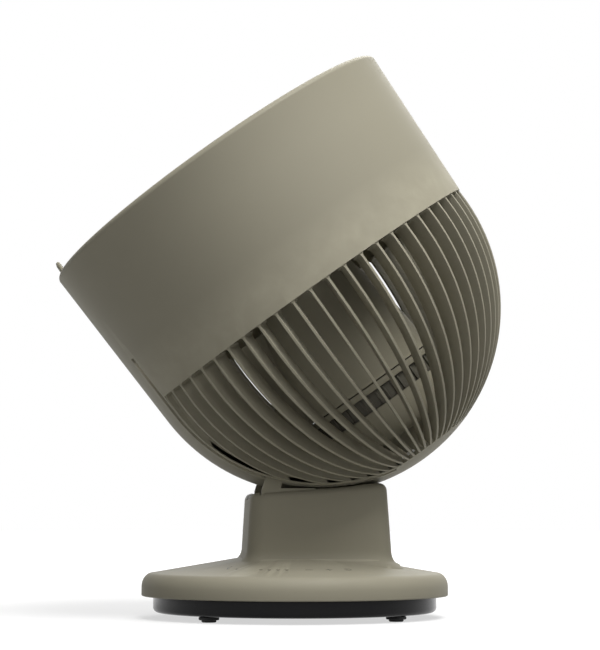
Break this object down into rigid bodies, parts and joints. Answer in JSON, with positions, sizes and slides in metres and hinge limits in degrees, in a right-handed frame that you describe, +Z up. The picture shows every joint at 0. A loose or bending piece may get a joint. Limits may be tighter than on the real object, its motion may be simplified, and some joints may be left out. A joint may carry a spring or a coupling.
{
  "type": "air circulator fan",
  "caption": "Desk air circulator: a ball-backed ribbed head on a neck that tilts and swings, over a round dark lower base, with a guarded fan and a motor pod inside.",
  "frame": {"origin": "on the table, under the middle of the box around the object at rest", "axes": "+Z up; the fan blows towards -Y and up; +X is the side with the touch keys"},
  "size_m": [0.2472, 0.2847, 0.3574],
  "materials": {
    "taupe_plastic": "matte",
    "white_plastic": "satin",
    "steel": "satin",
    "magnet": "matte",
    "copper": "satin",
    "dark_plastic": "satin",
    "black_gloss": "gloss",
    "rubber": "matte",
    "felt": "matte",
    "board": "satin",
    "lens": "gloss"
  },
  "bodies": {
    "lower_base_body": {"lower_base": "black_gloss", "rubber_foot_1": "rubber", "rubber_foot_2": "rubber", "rubber_foot_3": "rubber", "rubber_foot_4": "rubber", "turntable_ring": "white_plastic", "ballast_plate": "steel", "ballast_screw_1": "steel", "ballast_screw_2": "steel", "ballast_screw_3": "steel", "power_inlet": "dark_plastic", "swing_gear": "white_plastic"},
    "turret": {"base_housing": "taupe_plastic", "tilt_bridge": "steel", "bridge_screw_1": "steel", "bridge_screw_2": "steel", "tilt_shoe_left": "taupe_plastic", "tilt_shoe_right": "taupe_plastic", "friction_pad_left": "felt", "friction_pad_right": "felt", "seat_pad_1": "felt", "seat_pad_2": "felt", "turret_floor": "black_gloss", "floor_screw_1": "steel", "floor_screw_2": "steel", "floor_screw_3": "steel", "floor_screw_4": "steel", "hub_retainer": "steel", "retainer_screw_1": "steel", "retainer_screw_2": "steel", "retainer_screw_3": "steel", "swing_motor": "steel", "control_board": "board", "touch_mat": "rubber", "lamp_guide": "lens"},
    "head": {"head_shell": "taupe_plastic", "tilt_rail_left": "white_plastic", "tilt_rail_right": "white_plastic", "pod_rear_cup": "taupe_plastic", "pod_screw_1": "steel", "pod_screw_2": "steel", "pod_screw_3": "steel", "pod_vent_ring": "dark_plastic", "motor_mount": "taupe_plastic", "pod_front_cover": "taupe_plastic", "pod_strut": "taupe_plastic", "stator_core": "steel", "stator_winding_rear": "copper", "stator_winding_front": "copper", "bearing_rear": "steel", "bearing_front": "steel", "front_grille": "taupe_plastic", "grille_cap": "taupe_plastic"},
    "fan": {"motor_shaft": "steel", "rotor_can": "steel", "rotor_magnet": "magnet", "fan_blades": "dark_plastic", "fan_nut": "dark_plastic"},
    "pinion": {"swing_pinion": "white_plastic"}
  },
  "joints": [
    {"name": "turret_swing", "type": "hinge", "parent": "lower_base_body", "child": "turret", "pos_m": [0, 0.01048, 0.0159], "axis": [0, 0, 1], "range_deg": [-45, 45]},
    {"name": "head_tilt", "type": "hinge", "parent": "turret", "child": "head", "pos_m": [0, 0.02338, 0.1965], "axis": [-1, 0, 0], "range_deg": [-54.4, 35.6]},
    {"name": "fan_spin", "type": "hinge", "parent": "head", "child": "fan", "pos_m": [0, 0.02338, 0.1965], "axis": [0, -0.5821, 0.8131], "continuous": true},
    {"name": "pinion_spin", "type": "hinge", "parent": "turret", "child": "pinion", "pos_m": [0, 0.04948, 0.0159], "axis": [0, 0, 1], "range_deg": [-150.5, 150.5]}
  ],
  "couplings": [
    {"joint": "pinion_spin", "follows": "turret_swing", "ratio": 3.3333}
  ]
}
